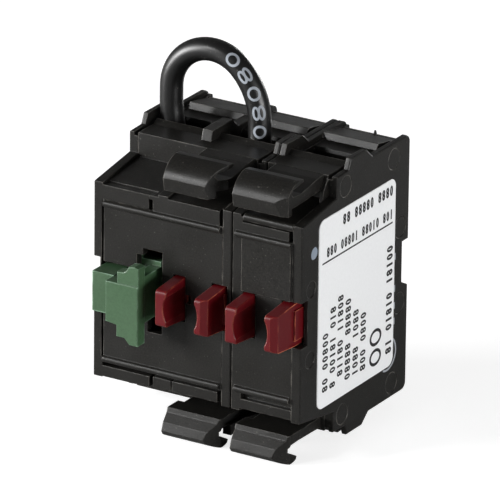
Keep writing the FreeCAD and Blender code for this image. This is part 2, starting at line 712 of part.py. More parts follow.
def right_module_cover():
    """Return the right cover with its notches and moulding marks."""
    plate = cover(TOTAL_WIDTH, RIGHT_COVER_X0)
    notch_y = BACK_Y - REAR_NOTCH_D
    rear_notch = [(notch_y, 3.2), (BACK_Y + 1, 3.2), (BACK_Y + 1, -3.55), (notch_y, -2.25)]
    tools = [
        prong_recess(RIGHT, RIGHT_COVER_X0),
        box(TOTAL_WIDTH - FINGER_NOTCH_D, TOTAL_WIDTH + 1, -1, FINGER_NOTCH_Y, -SLOT_HALF_Z, SLOT_HALF_Z),
        side_prism(rear_notch, RIGHT_COVER_X0 - 1, TOTAL_WIDTH + 1),
    ]
    for y, z, radius in MARKS:
        tools.append(rod_x(y, z, radius, TOTAL_WIDTH - MARK_D, TOTAL_WIDTH + 1))
    return cut(plate, tools)


def side_label():
    """Return the thin label with rounded corners on the right cover."""
    sheet = box(TOTAL_WIDTH, TOTAL_WIDTH + LABEL_T, LABEL_Y0, LABEL_Y1, LABEL_Z0, LABEL_Z1)

    def corner(edge, middle):
        size = edge.BoundBox
        return size.YLength < 1e-6 and size.ZLength < 1e-6

    return round_edges(sheet, LABEL_R, corner)


def window(element):
    """Return the front and back of the window through a carriage."""
    if element.makes:
        back = MAKE_BRIDGE_Y0 + BRIDGE_T + CONTACT_GAP
        return back - BRIDGE_T - CONTACT_SPRING_ROOM + BRIDGE_SEAT_GAP / 2, back
    front = BREAK_BRIDGE_Y0 - BRIDGE_SEAT_GAP
    return front, front + BRIDGE_T + CONTACT_SPRING_ROOM + BRIDGE_SEAT_GAP


def bridge_front(element):
    """Return the front face of a contact bridge."""
    if element.makes:
        return MAKE_BRIDGE_Y0
    return BREAK_BRIDGE_Y0


def carriage(element, x0, x1):
    """Return the block that carries the contact bridge and takes the return spring."""
    middle = carriage_middle(element)
    y0, y1 = window(element)
    block = fuse([
        box(x0, x1, CARRIAGE_Y0, CARRIAGE_Y1, -CARRIAGE_HALF_Z, CARRIAGE_HALF_Z),
        box(x0, x1, CARRIAGE_Y0, CARRIAGE_Y0 + FLANGE_T, -FLANGE_HALF_Z, FLANGE_HALF_Z),
        rod_y(middle, 0, SPRING_PEG_R, CARRIAGE_Y1 - 0.5, CARRIAGE_Y1 + SPRING_PEG_L),
    ])
    half = BRIDGE_W / 2 + BRIDGE_GAP
    return cut(block, [box(middle - half, middle + half, y0, y1, -CARRIAGE_HALF_Z - 1, CARRIAGE_HALF_Z + 1)])


def prong(x0, x1):
    """Return one tapering prong with rounded front corners."""
    points = [
        (SLIDER_FRONT_Y, PRONG_FRONT_HALF_Z),
        (0, PRONG_ROOT_HALF_Z),
        (CARRIAGE_Y0 + 0.5, PRONG_ROOT_HALF_Z),
    ]
    solid = side_prism(both_halves(points), x0, x1)

    def front_corner(edge, middle):
        return along_x(edge) and middle.y < SLIDER_FRONT_Y + 0.01

    return round_edges(solid, 0.5, front_corner)


def soft_front(shape, radius):
    """Round every edge of a slider part that stands in front of the panel."""

    def in_front(edge, middle):
        return edge.BoundBox.YMax < SHOULDER_Y or middle.y < SLIDER_FRONT_Y / 2

    return round_edges(shape, radius, in_front)


def plunger(element):
    """Return a red plunger: two scooped prongs on one carriage."""
    x0 = element.prong_x0
    x1 = element.prong_x1
    left_end = x0 + PRONG_LEFT_W
    right_start = x1 - PRONG_RIGHT_W
    scoop_left = rod_y(left_end + SCOOP_R - SCOOP_D, 0, SCOOP_R, SLIDER_FRONT_Y - 1, 0.9)
    scoop_right = rod_y(right_start - SCOOP_R + SCOOP_D, 0, SCOOP_R, SLIDER_FRONT_Y - 1, 0.9)
    bevel = [(x1 - 0.9, SLIDER_FRONT_Y - 1), (x1 - 0.9, SLIDER_FRONT_Y)]
    bevel += [(x1 + 0.1, SLIDER_FRONT_Y + 0.55), (x1 + 0.1, SLIDER_FRONT_Y - 1)]
    left = soft_front(cut(prong(x0, left_end), [scoop_left]), PRONG_EDGE_R)
    right = soft_front(cut(prong(right_start, x1), [scoop_right, top_prism(bevel, -4, 4)]), PRONG_EDGE_R)
    flange_y1 = CARRIAGE_Y0 + FLANGE_T
    shoulder = box(x1 - 0.2, x1 + SHOULDER_X, SHOULDER_Y, flange_y1, -SHOULDER_HALF_Z, SHOULDER_HALF_Z)
    link = box(carriage_end(element) - 0.3, x1, CARRIAGE_Y0, flange_y1, -LINK_HALF_Z, LINK_HALF_Z)
    return fuse([carriage(element, x0, carriage_end(element)), left, right, shoulder, link])


def monitor_slider():
    """Return the green slider: front plate, thumb knob, left wing and carriage."""
    x1 = SLIDER_X1
    x0 = x1 - PLATE_W
    arm_x1 = x1 - SLIDER_SIDE_GAP
    front = SLIDER_FRONT_Y
    back = front + PLATE_T
    plate = cut(
        front_prism([(x1 + x, z) for x, z in FACE_OUTLINE], front, back),
        [box(x0 - 1, x1 + 1, front - 1, front + KNOB_LEDGE_D, KNOB_LEDGE_Z, KNOB_LEDGE_Z + 9)],
    )

    def front_edge(edge, middle):
        on_knob = middle.z > KNOB_LEDGE_Z + 0.01 and edge.BoundBox.YMin > front + KNOB_LEDGE_D - 1e-6
        flat_y = front + KNOB_LEDGE_D if on_knob else front
        return edge.BoundBox.YMax < flat_y + 1e-6

    y1 = CARRIAGE_Y0 + FLANGE_T / 2
    flange_y1 = CARRIAGE_Y0 + FLANGE_T
    chamber_x0 = MONITOR.x0 + CARRIAGE_SIDE_GAP
    return fuse([
        round_edges(plate, SLIDER_EDGE_R, front_edge),
        box(x0, arm_x1, back - 0.5, y1, *FACE_ARM_Z),
        box(LEFT_BODY_X0 + SLIDER_SIDE_GAP, x0 + 0.1, WING_Y, y1, *WING_Z),
        box(x1 - KNOB_ARM_W, arm_x1, back - 0.5, flange_y1, *KNOB_ARM_Z),
        box(chamber_x0, x1 + MONITOR_FLANGE_X, CARRIAGE_Y0, flange_y1, *MONITOR_FLANGE_Z),
        box(x1 + MONITOR_FLANGE_X - 0.1, arm_x1, CARRIAGE_Y0, flange_y1, FACE_ARM_Z[0], KNOB_ARM_Z[1]),
        carriage(MONITOR, chamber_x0, RIB_X0 - CARRIAGE_SIDE_GAP),
    ])


def contact_bridge(element):
    """Return the flat moving bridge of one element."""
    x = carriage_middle(element)
    y0 = bridge_front(element)
    half = BRIDGE_W / 2
    return box(x - half, x + half, y0, y0 + BRIDGE_T, -BRIDGE_HALF_Z, BRIDGE_HALF_Z)


def bridge_tips(element):
    """Return the two contact tips on a moving bridge."""
    x = carriage_middle(element)
    y0 = bridge_front(element) - TIP_T
    if element.makes:
        y0 = bridge_front(element) + BRIDGE_T
    tips = [rod_y(x, z, TIP_R, y0, y0 + TIP_T) for z in (-TIP_Z, TIP_Z)]
    return Part.makeCompound(tips)


def terminal_bar(element):
    """Return the upper terminal bar: fixed leg, flat strip and clamp bar in one piece."""
    x0 = element.clear_x0 + STRIP_SIDE_GAP
    x1 = element.clear_x1 - STRIP_SIDE_GAP
    y0 = strip_front(element)
    cage_inset = CAGE_SIDE_GAP + CAGE_WALL + BAR_SIDE_GAP
    bar_x0 = element.clear_x0 + cage_inset
    bar_x1 = element.clear_x1 - cage_inset
    return fuse([
        box(x0, x1, y0, y0 + STRIP_T, FIXED_LEG_Z0, STRIP_Z0 + STRIP_T),
        box(x0, x1, y0, BAR_Y1, STRIP_Z0, STRIP_Z0 + STRIP_T),
        box(bar_x0, bar_x1, BAR_Y1 - STRIP_T, BAR_Y1, STRIP_Z0, BAR_Z1),
    ])


def fixed_tip(element):
    """Return the upper fixed contact tip."""
    x = carriage_middle(element)
    if element.makes:
        return rod_y(x, TIP_Z, TIP_R, MAKE_TIP_Y0, MAKE_TIP_Y0 + TIP_T)
    y0 = BREAK_LEG_Y0 + STRIP_T
    return rod_y(x, TIP_Z, TIP_R, y0, y0 + TIP_T)


def clamp(element, closed):
    """Return the upper clamp: a square ring pulled back by its screw."""
    y0 = CAGE_CLOSED_Y0
    if not closed:
        y0 -= CAGE_TRAVEL
    x0 = element.clear_x0 + CAGE_SIDE_GAP
    x1 = element.clear_x1 - CAGE_SIDE_GAP
    ring = box(x0, x1, y0, y0 + CAGE_Y, CAGE_Z0, CAGE_Z1)
    hole = box(x0 + CAGE_WALL, x1 - CAGE_WALL, y0 + CAGE_WALL, y0 + CAGE_Y - CAGE_WALL, 0, 20)
    thread = rod_y(element.screw_x, SCREW_Z, SCREW_R + THREAD_FIT, y0 + CAGE_WALL, y0 + CAGE_Y + 1)
    return cut(ring, [hole, thread])


def screw(element):
    """Return the upper clamp screw with a slotted head."""
    x = element.screw_x
    body = fuse([
        rod_y(x, SCREW_Z, SCREW_R, SCREW_TIP_Y, SCREW_HEAD_Y0 + 0.2),
        rod_y(x, SCREW_Z, SCREW_HEAD_R, SCREW_HEAD_Y0, SCREW_HEAD_Y1),
    ])
    half = SCREW_SLOT_W / 2
    slot = box(x - 5, x + 5, SCREW_HEAD_Y1 - SCREW_SLOT_D, SCREW_HEAD_Y1 + 1, SCREW_Z - half, SCREW_Z + half)
    return cut(body, [slot])


def flat_spring(x, y0, y1, radius, wire, turns):
    """Return a coil spring along Y, wound from square wire."""
    helix = Part.makeHelix((y1 - y0 - wire) / turns, y1 - y0 - wire, radius)
    half = wire / 2
    corners = [V(radius - half, 0, -half), V(radius + half, 0, -half)]
    corners += [V(radius + half, 0, half), V(radius - half, 0, half)]
    profile = Part.makePolygon(corners + corners[:1])
    coil = Part.Wire(helix.Edges).makePipeShell([profile], True, True)
    coil.rotate(V(0, 0, 0), V(1, 0, 0), -90)
    coil.translate(V(x, y0 + half, 0))
    return coil


def return_spring(element):
    """Return the spring behind a carriage."""
    x = carriage_middle(element)
    return flat_spring(x, CARRIAGE_Y1 + 0.03, SPRING_Y1 - 0.03, RETURN_R, RETURN_WIRE, RETURN_TURNS)


def contact_spring(element):
    """Return the spring that presses a bridge against its contacts."""
    x = carriage_middle(element)
    y0, y1 = window(element)
    if element.makes:
        y1 = bridge_front(element)
    else:
        y0 = bridge_front(element) + BRIDGE_T
    return flat_spring(x, y0 + 0.03, y1 - 0.03, CONTACT_R, CONTACT_WIRE, CONTACT_TURNS)


def arc(middle_x, middle_z, radius, start, end):
    """Return an arc in the plane of the link wire, with angles in degrees from +X to +Z."""
    points = []
    for angle in (start, (start + end) / 2, end):
        turn = math.radians(angle)
        points.append(V(middle_x + radius * math.cos(turn), WIRE_Y, middle_z + radius * math.sin(turn)))
    return Part.Arc(*points).toShape()


def line(x0, z0, x1, z1):
    """Return a straight edge in the plane of the link wire."""
    return Part.makeLine(V(x0, WIRE_Y, z0), V(x1, WIRE_Y, z1))


def wire_path(end_z):
    """Return the centre line of the link wire, ending at the given height on both legs."""
    left_x = LIP_T + LIP_WIRE_GAP + WIRE_R
    top_x = left_x + LOOP_TOP_R
    right_x = LEFT.screw_x + LOOP_RIGHT_SHIFT
    lean = math.radians(LOOP_LEAN_DEG)
    bend_x = left_x + LOOP_LEAN_R * (1 - math.cos(lean))
    bend_z = LOOP_LEAN_Z - LOOP_LEAN_R * math.sin(lean)
    foot_x = bend_x + (bend_z - end_z) * math.tan(lean)
    turn = math.radians(45)
    knee_x = top_x + LOOP_TOP_R * math.cos(turn)
    knee_z = LOOP_TOP_Z + LOOP_TOP_R * math.sin(turn)
    side_r = (right_x - knee_x) / (1 - math.cos(turn))
    side_z = knee_z - side_r * math.sin(turn)
    edges = [
        line(foot_x, end_z, bend_x, bend_z),
        arc(left_x + LOOP_LEAN_R, LOOP_LEAN_Z, LOOP_LEAN_R, 180 + LOOP_LEAN_DEG, 180),
        line(left_x, LOOP_LEAN_Z, left_x, LOOP_TOP_Z),
        arc(top_x, LOOP_TOP_Z, LOOP_TOP_R, 180, 45),
        arc(right_x - side_r, side_z, side_r, 45, 0),
        line(right_x, side_z, right_x, end_z),
    ]
    return Part.Wire(edges)


def swept_rod(path, radius):
    """Return a round rod that follows the path."""
    start = path.Edges[0]
    point = start.valueAt(start.FirstParameter)
    ring = Part.Wire([Part.makeCircle(radius, point, start.tangentAt(start.FirstParameter))])
    return path.makePipeShell([ring], True, False)


def link_wire():
    """Return the insulation and the conductor of the link wire."""
    conductor = swept_rod(wire_path(CONDUCTOR_END_Z), CONDUCTOR_R)
    insulation = swept_rod(wire_path(STRIP_END_Z), WIRE_R)
    core = swept_rod(wire_path(CONDUCTOR_END_Z), CONDUCTOR_R + CONDUCTOR_FIT)
    return insulation.cut(core), conductor


def export(name, shape):
    """Write one piece, moved so that X is measured from the middle of the width."""
    placed = shape.copy()
    placed.translate(V(-TOTAL_WIDTH / 2, 0, 0))
    placed.exportStep("parts/" + name + ".step")


def export_element(element, wired_top):
    """Write every inner piece of one element."""
    name = element.name
    export("contact_bridge_" + name, contact_bridge(element))
    export("bridge_tips_" + name, bridge_tips(element))
    export("contact_spring_" + name, contact_spring(element))
    export("return_spring_" + name, return_spring(element))
    for side, closed in (("top", wired_top), ("bottom", False)):
        pieces = {
            "terminal_bar": terminal_bar(element),
            "fixed_tip": fixed_tip(element),
            "clamp": clamp(element, closed),
            "screw": screw(element),
        }
        for kind, piece in pieces.items():
            if side == "bottom":
                piece = flip(piece)
            export(kind + "_" + name + "_" + side, piece)


def main():
    """Build and write every piece."""
    os.makedirs("parts", exist_ok=True)
    export("left_module_body", left_module_body())
    export("left_module_left_cover", left_module_left_cover())
    export("left_module_right_cover", left_module_right_cover())
    export("right_module_body", right_module_body())
    export("right_module_cover", right_module_cover())
    export("side_label", side_label())
    export("monitor_slider", monitor_slider())
    export("plunger_left", plunger(LEFT))
    export("plunger_right", plunger(RIGHT))
    for element in ELEMENTS:
        export_element(element, element is not RIGHT)
    insulation, conductor = link_wire()
    export("link_wire_insulation", insulation)
    export("link_wire_conductor", conductor)


main()
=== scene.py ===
"""Looks of a self-monitoring contact block: two black modules, red plungers, a green slider, a link wire.

Lengths are in metres in the mesh code and in millimetres in the fields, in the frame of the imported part:
X to the right seen from the front, Y back from the front seating plane, Z up.
"""

import json
import logging
import math
from dataclasses import dataclass, field
from enum import Enum
from typing import Any

import bpy
import numpy as np
from mathutils import Matrix, Vector

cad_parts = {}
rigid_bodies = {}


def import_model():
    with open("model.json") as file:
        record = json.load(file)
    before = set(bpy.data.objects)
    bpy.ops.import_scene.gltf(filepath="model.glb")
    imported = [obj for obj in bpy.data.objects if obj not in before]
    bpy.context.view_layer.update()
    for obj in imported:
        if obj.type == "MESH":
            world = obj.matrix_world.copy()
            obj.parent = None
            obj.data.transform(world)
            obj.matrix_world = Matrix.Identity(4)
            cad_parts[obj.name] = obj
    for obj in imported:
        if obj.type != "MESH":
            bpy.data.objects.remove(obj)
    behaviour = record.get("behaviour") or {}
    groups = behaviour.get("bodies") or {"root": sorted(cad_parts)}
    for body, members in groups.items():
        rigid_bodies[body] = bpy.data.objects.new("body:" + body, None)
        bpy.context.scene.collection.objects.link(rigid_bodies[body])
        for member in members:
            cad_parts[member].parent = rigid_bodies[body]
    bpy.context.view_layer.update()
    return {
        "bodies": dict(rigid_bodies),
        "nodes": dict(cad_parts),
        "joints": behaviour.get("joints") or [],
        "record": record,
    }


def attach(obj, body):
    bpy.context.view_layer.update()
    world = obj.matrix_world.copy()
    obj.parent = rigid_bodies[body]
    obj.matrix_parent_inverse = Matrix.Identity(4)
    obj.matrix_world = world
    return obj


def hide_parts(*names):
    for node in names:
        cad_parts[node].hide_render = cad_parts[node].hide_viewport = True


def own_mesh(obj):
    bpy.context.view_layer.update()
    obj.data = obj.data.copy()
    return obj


LOG = logging.getLogger("contact_block")
MM = 0.001
# Step in which the places of a CAD node's corners are counted, so that equal ones can be merged
MERGE_MM = 0.0001
# Points at equal angles along a ring's edge and round a disc
RING_POINTS = 25
DISC_POINTS = 32
# Values or links of a node, by the name or number of the input socket
Sockets = dict[str | int, Any]
# Places, one row each, and the corner numbers of the faces, one row each
Shape = tuple[np.ndarray, np.ndarray]
# Two lengths or two angles, and a place in space
Pair = tuple[float, float]
Place = tuple[float, float, float]


def linear(code: str) -> tuple[float, float, float, float]:
    """Turn an sRGB hex colour into a linear one.

    Each part is divided by 12.92 up to 0.04045, and above that follows a power of 2.4.

    Args:
        code: six hex digits, as in "1a2b3c".

    Returns:
        Linear red, green, blue and an alpha of 1.
    """
    parts = [int(code[i:i + 2], 16) / 255 for i in (0, 2, 4)]
    turned = [p / 12.92 if p <= 0.04045 else ((p + 0.055) / 1.055) ** 2.4 for p in parts]
    return (turned[0], turned[1], turned[2], 1.0)


def pattern_scale(width_mm: float) -> float:
    """Return the noise scale that makes a pattern this wide: one over its width in metres."""
    return 1 / (width_mm * MM)


def add_node(tree: bpy.types.NodeTree, kind: str, values: Sockets | None = None,
             links: Sockets | None = None, **settings: Any) -> bpy.types.Node:
    """Add one shader node with its settings, its socket values and its incoming links.

    Args:
        tree: the node tree to add to.
        kind: the node's type name without the "ShaderNode" at its front.
        values: numbers or colours by input socket, named or numbered.
        links: output sockets by the input socket that they feed.
        settings: attributes of the node itself.

    Returns:
        The new node.
    """
    node = tree.nodes.new("ShaderNode" + kind)
    for key, value in settings.items():
        setattr(node, key, value)
    for key, value in (values or {}).items():
        node.inputs[key].default_value = value
    for key, socket in (links or {}).items():
        tree.links.new(socket, node.inputs[key])
    return node


def empty_material(name: str) -> bpy.types.Material:
    """Make a material with no nodes in it.

    Args:
        name: its name.

    Returns:
        The new material.
    """
    material = bpy.data.materials.new(name)
    material.use_nodes = True
    material.node_tree.nodes.clear()
    return material


@dataclass(frozen=True)
class MouldedPlastic:
    """Thermoplastic with a fine grain from its mould, dust, and lighter edges, partly polished by handling
    and partly a painted highlight.

    The grain is drawn 0.2 to 0.35 mm wide, coarser than the real 0.05 mm, so that it shows in the render.
    Each low and high is the stretch of its noise, from 0 to 1, over which a change fades in.
    """

    name: str
    colour: str
    worn_and_lit_edge: str
    roughness: float
    # Grain of the mould: its width, its bump, and how far it lightens and darkens the colour
    grain_mm: float = 0.28
    grain_depth: float = 0.35
    grain_height_mm: float = 0.02
    speckle: float = 0.2
    grain_low: float = 0.35
    grain_high: float = 0.65
    # Edge wear and painted edge highlight: its amount, its reach from an edge,
    # the share of light where it starts and is full, its patches
    wear_and_highlight: float = 0.5
    edge_mm: float = 0.18
    edge_start: float = 0.88
    edge_full: float = 0.55
    rubbed_mm: float = 1.6
    rubbed_low: float = 0.42
    rubbed_high: float = 0.68
    rubbed_least: float = 0.08
    # Radius that the eye sees on every edge
    rounding_mm: float = 0.1
    # Dust: its amount and colour, and the noise whose peaks are its specks
    dust: float = 0.0
    dust_colour: str = "b0aca4"
    speck_mm: float = 0.26
    speck_low: float = 0.71
    speck_high: float = 0.78
    # Flow clouds, as the melt leaves them: they make the roughness a little less or more
    cloud_mm: float = 6.0
    cloud_low: float = 0.3
    cloud_high: float = 0.7
    smoother: float = 0.05
    rougher: float = 0.06
    ior: float = 1.5
    specular: float = 0.5

    def wear_and_highlight_amount(self, tree: bpy.types.NodeTree, place: bpy.types.NodeSocket) -> bpy.types.NodeSocket:
        """Work out how much edge wear and painted edge highlight each point gets.

        Inside the plastic, a point near an edge has the next face close by, which shuts out ambient light.
        From the start of the edge to its full wear this share of light is turned into wear and painted edge
        highlight from 0 to 1. It is multiplied by the rubbed patches and by the finish's amount of both.

        Args:
            tree: the material's nodes.
            place: Object coordinates.

        Returns:
            The amount of wear, from 0 to the wear of the finish.
        """
        rubbed = add_node(tree, "TexNoise", {"Scale": pattern_scale(self.rubbed_mm), "Detail": 4.0},
                          {"Vector": place})
        near = add_node(tree, "AmbientOcclusion", {"Distance": self.edge_mm * MM},
                        inside=True, only_local=True, samples=8)
        edge = add_node(tree, "MapRange", {"From Min": self.edge_start, "From Max": self.edge_full},
                        {"Value": near.outputs["AO"]})
        patch = add_node(tree, "MapRange", {"From Min": self.rubbed_low, "From Max": self.rubbed_high,
                                            "To Min": self.rubbed_least}, {"Value": rubbed.outputs["Fac"]})
        worn_and_lit_edge = add_node(tree, "Math", {}, {0: edge.outputs["Result"], 1: patch.outputs["Result"]},
                        operation="MULTIPLY")
        amount = add_node(tree, "Math", {1: self.wear_and_highlight}, {0: worn_and_lit_edge.outputs["Value"]}, operation="MULTIPLY")
        return amount.outputs["Value"]

    def tone(self, tree: bpy.types.NodeTree, place: bpy.types.NodeSocket,
             grain: bpy.types.NodeSocket) -> bpy.types.NodeSocket:
        """Colour the surface: the base speckled by its grain, then dust, then edge wear and painted edge
        highlight over both.

        A dust speck lies where a finer noise peaks, and is about half as wide as that noise.

        Args:
            tree: the material's nodes.
            place: Object coordinates.
            grain: the height of the grain, from 0 to 1.

        Returns:
            The colour.
        """
        speckle = add_node(tree, "MapRange", {"From Min": self.grain_low, "From Max": self.grain_high,
                                              "To Min": 1 - self.speckle, "To Max": 1 + self.speckle},
                           {"Value": grain})
        base = add_node(tree, "HueSaturation", {"Color": linear(self.colour)},
                        {"Value": speckle.outputs["Result"]})
        specks = add_node(tree, "TexNoise", {"Scale": pattern_scale(self.speck_mm), "Detail": 1.0},
                          {"Vector": place})
        dust = add_node(tree, "MapRange", {"From Min": self.speck_low, "From Max": self.speck_high,
                                           "To Max": self.dust}, {"Value": specks.outputs["Fac"]})
        dusty = add_node(tree, "Mix", {"B": linear(self.dust_colour)},
                         {"Factor": dust.outputs["Result"], "A": base.outputs["Color"]}, data_type="RGBA")
        # Edges take the worn colour here: partly real wear, partly a painted highlight.
        worn_and_lit_edge = add_node(tree, "Mix", {"B": linear(self.worn_and_lit_edge)},
                        {"Factor": self.wear_and_highlight_amount(tree, place), "A": dusty.outputs["Result"]},
                        data_type="RGBA")
        return worn_and_lit_edge.outputs["Result"]

    def build(self) -> bpy.types.Material:
        """Return the material.

        Returns:
            A principled surface with rounded edges, grain as bump, cloudy roughness and the colour of tone.
        """
        material = empty_material(self.name)
        tree = material.node_tree
        place = add_node(tree, "TexCoord").outputs["Object"]
        grain = add_node(tree, "TexNoise", {"Scale": pattern_scale(self.grain_mm), "Detail": 3.0,
                                            "Roughness": 0.6}, {"Vector": place})
        cloud = add_node(tree, "TexNoise", {"Scale": pattern_scale(self.cloud_mm), "Detail": 2.0},
                         {"Vector": place})
        rough = add_node(tree, "MapRange", {"From Min": self.cloud_low, "From Max": self.cloud_high,
                                            "To Min": self.roughness - self.smoother,
                                            "To Max": self.roughness + self.rougher},
                         {"Value": cloud.outputs["Fac"]})
        soft = add_node(tree, "Bevel", {"Radius": self.rounding_mm * MM}, samples=6)
        bump = add_node(tree, "Bump", {"Strength": self.grain_depth, "Distance": self.grain_height_mm * MM},
                        {"Height": grain.outputs["Fac"], "Normal": soft.outputs["Normal"]})
        surface = add_node(tree, "BsdfPrincipled", {"IOR": self.ior, "Specular IOR Level": self.specular},
                           {"Base Color": self.tone(tree, place, grain.outputs["Fac"]),
                            "Roughness": rough.outputs["Result"], "Normal": bump.outputs["Normal"]})
        add_node(tree, "OutputMaterial", {}, {"Surface": surface.outputs["BSDF"]})
        return material


@dataclass(frozen=True)
class Metal:
    """Rolled, drawn, pressed or plated metal with fine marks drawn out along Z."""

    name: str
    colour: str
    roughness: float
    # Marks: their width, how many times longer they are, their bump, and how they change the roughness
    mark_mm: float = 0.08
    mark_stretch: float = 12.0
    mark_depth: float = 0.15
    mark_height_mm: float = 0.005
    smoother: float = 0.06
    rougher: float = 0.1

    def build(self) -> bpy.types.Material:
        """Return the material.

        Returns:
            A metallic surface whose roughness and bump follow stretched noise.
        """
        material = empty_material(self.name)
        tree = material.node_tree
        place = add_node(tree, "TexCoord").outputs["Object"]
        along = add_node(tree, "Mapping", {"Scale": (1.0, 1.0, 1 / self.mark_stretch)}, {"Vector": place})
        marks = add_node(tree, "TexNoise", {"Scale": pattern_scale(self.mark_mm), "Detail": 2.0},
                         {"Vector": along.outputs["Vector"]})
        rough = add_node(tree, "MapRange", {"To Min": self.roughness - self.smoother,
                                            "To Max": self.roughness + self.rougher},
                         {"Value": marks.outputs["Fac"]})
        bump = add_node(tree, "Bump", {"Strength": self.mark_depth, "Distance": self.mark_height_mm * MM},
                        {"Height": marks.outputs["Fac"]})
        surface = add_node(tree, "BsdfPrincipled", {"Base Color": linear(self.colour), "Metallic": 1.0},
                           {"Roughness": rough.outputs["Result"], "Normal": bump.outputs["Normal"]})
        add_node(tree, "OutputMaterial", {}, {"Surface": surface.outputs["BSDF"]})
        return material


@dataclass(frozen=True)
class Paper:
    """Coated paper of a self-adhesive label, or a thin coat of ink or paint, with a faint fibre pattern."""

    name: str
    colour: str
    roughness: float
    # Fibres: their width and bump, and how they change the tone
    fibre_mm: float = 0.4
    fibre_depth: float = 0.1
    fibre_height_mm: float = 0.01
    darkest: float = 0.94
    lightest: float = 1.02
    ior: float = 1.45

    def build(self) -> bpy.types.Material:
        """Return the material.

        Returns:
            A dull surface whose tone and bump follow the fibres.
        """
        material = empty_material(self.name)
        tree = material.node_tree
        place = add_node(tree, "TexCoord").outputs["Object"]
        fibre = add_node(tree, "TexNoise", {"Scale": pattern_scale(self.fibre_mm), "Detail": 3.0},
                         {"Vector": place})
        shade = add_node(tree, "MapRange", {"To Min": self.darkest, "To Max": self.lightest},
                         {"Value": fibre.outputs["Fac"]})
        tone = add_node(tree, "HueSaturation", {"Color": linear(self.colour)},
                        {"Value": shade.outputs["Result"]})
        bump = add_node(tree, "Bump", {"Strength": self.fibre_depth, "Distance": self.fibre_height_mm * MM},
                        {"Height": fibre.outputs["Fac"]})
        surface = add_node(tree, "BsdfPrincipled", {"Roughness": self.roughness, "IOR": self.ior},
                           {"Base Color": tone.outputs["Color"], "Normal": bump.outputs["Normal"]})
        add_node(tree, "OutputMaterial", {}, {"Surface": surface.outputs["BSDF"]})
        return material


Finish = MouldedPlastic | Metal | Paper

# Glass-filled polyamide from a spark-eroded mould: near-black and warm, an even sheen, dust, and grey edges
# that are partly worn and partly a painted highlight
HOUSING = MouldedPlastic("matt_black_polyamide", "1b1a18", "8a867f", 0.33, grain_mm=0.2, grain_depth=0.6,
                         wear_and_highlight=0.6, edge_mm=0.12, rounding_mm=0.17, specular=0.32, speckle=0.4, dust=0.16)
# Moulded polycarbonate of the plungers: dark signal red, smoother, with thin orange lines on the edges that
# are partly whitening and partly a painted highlight
RED = MouldedPlastic("red_polycarbonate", "5a0b12", "f08c64", 0.33, grain_mm=0.35, grain_depth=0.15,
                     wear_and_highlight=0.85, edge_mm=0.11, edge_start=0.95, edge_full=0.8, rounding_mm=0.07,
                     specular=0.35, speckle=0.05)
# Moulded polycarbonate of the slider: mid green, a little duller, with pale edges that are partly worn and
# partly a painted highlight
GREEN = MouldedPlastic("green_polycarbonate", "3a563b", "93b59c", 0.4, grain_mm=0.3, grain_depth=0.2,
                       wear_and_highlight=0.9, edge_mm=0.25, speckle=0.1)
# Extruded PVC: black and smooth, with a soft highlight along the wire and a few specks of dust
INSULATION = MouldedPlastic("black_pvc_insulation", "0f0f0f", "3a3a3a", 0.36, grain_depth=0.05, wear_and_highlight=0.0,
                            speckle=0.05, specular=0.5, dust=0.2)
# Coated paper: a cool white with hardly any shine
LABEL_PAPER = Paper("white_label_paper", "f6f7f8", 0.55)
# Printed inks and a dab of paint: flat tones, a shade glossier than the paper
LABEL_INK = Paper("black_label_ink", "1c1c1e", 0.5)
WIRE_INK = Paper("white_wire_ink", "969ca4", 0.5)
SILVER_INK = Paper("silver_marking_ink", "a4a8ae", 0.45)
PAINT_DOT = Paper("blue_grey_paint", "8d98a6", 0.5)
# Rolled brass strip of the bars and bridges: warm yellow, satin
BRASS = Metal("rolled_brass", "c79a55", 0.3)
# Pressed silver of the contact tips: pale and a little warm
SILVER = Metal("pressed_silver", "d8d6d0", 0.32)
# Drawn copper of the stripped wire: orange-brown, satin
COPPER = Metal("bare_copper", "b86b45", 0.33)
# Drawn steel wire of the springs: dark grey with drawing marks
STEEL = Metal("drawn_spring_steel", "8e9094", 0.3)
# Zinc-plated steel of the clamp cages and screws: light grey, slightly blue
ZINC = Metal("zinc_plated_steel", "b4b7bb", 0.34)


class Slot(Enum):
    """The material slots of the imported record."""

    BLACK_PLASTIC = "black_plastic"
    RED_PLASTIC = "red_plastic"
    GREEN_PLASTIC = "green_plastic"
    LABEL = "label"
    WIRE_INSULATION = "wire_insulation"
    COPPER = "copper"
    COPPER_ALLOY = "copper_alloy"
    SILVER = "silver"
    SPRING_STEEL = "spring_steel"
    ZINC_STEEL = "zinc_steel"


FINISH_OF = {
    Slot.BLACK_PLASTIC: HOUSING,
    Slot.RED_PLASTIC: RED,
    Slot.GREEN_PLASTIC: GREEN,
    Slot.LABEL: LABEL_PAPER,
    Slot.WIRE_INSULATION: INSULATION,
    Slot.COPPER: COPPER,
    Slot.COPPER_ALLOY: BRASS,
    Slot.SILVER: SILVER,
    Slot.SPRING_STEEL: STEEL,
    Slot.ZINC_STEEL: ZINC,
}


def placed(name: str, data: bpy.types.ID) -> bpy.types.Object:
    """Put a new object into the scene.

    Args:
        name: its name.
        data: its mesh, lamp or camera.

    Returns:
        The new object.
    """
    thing = bpy.data.objects.new(name, data)
    bpy.context.scene.collection.objects.link(thing)
    return thing


def mesh_object(name: str, shape: Shape, material: bpy.types.Material, smooth: bool) -> bpy.types.Object:
    """Make a mesh object from arrays.

    Args:
        name: name of the object and of its mesh.
        shape: (n, 3) places in metres, and the corner numbers of each face.
        material: its only material.
        smooth: whether its faces are shaded smooth.

    Returns:
        The new object.
    """
    points, faces = shape
    mesh = bpy.data.meshes.new(name)
    mesh.from_pydata(points.tolist(), [], faces.tolist())
    mesh.polygons.foreach_set("use_smooth", np.full(len(faces), smooth))
    mesh.update()
    thing = placed(name, mesh)
    mesh.materials.append(material)
    return thing


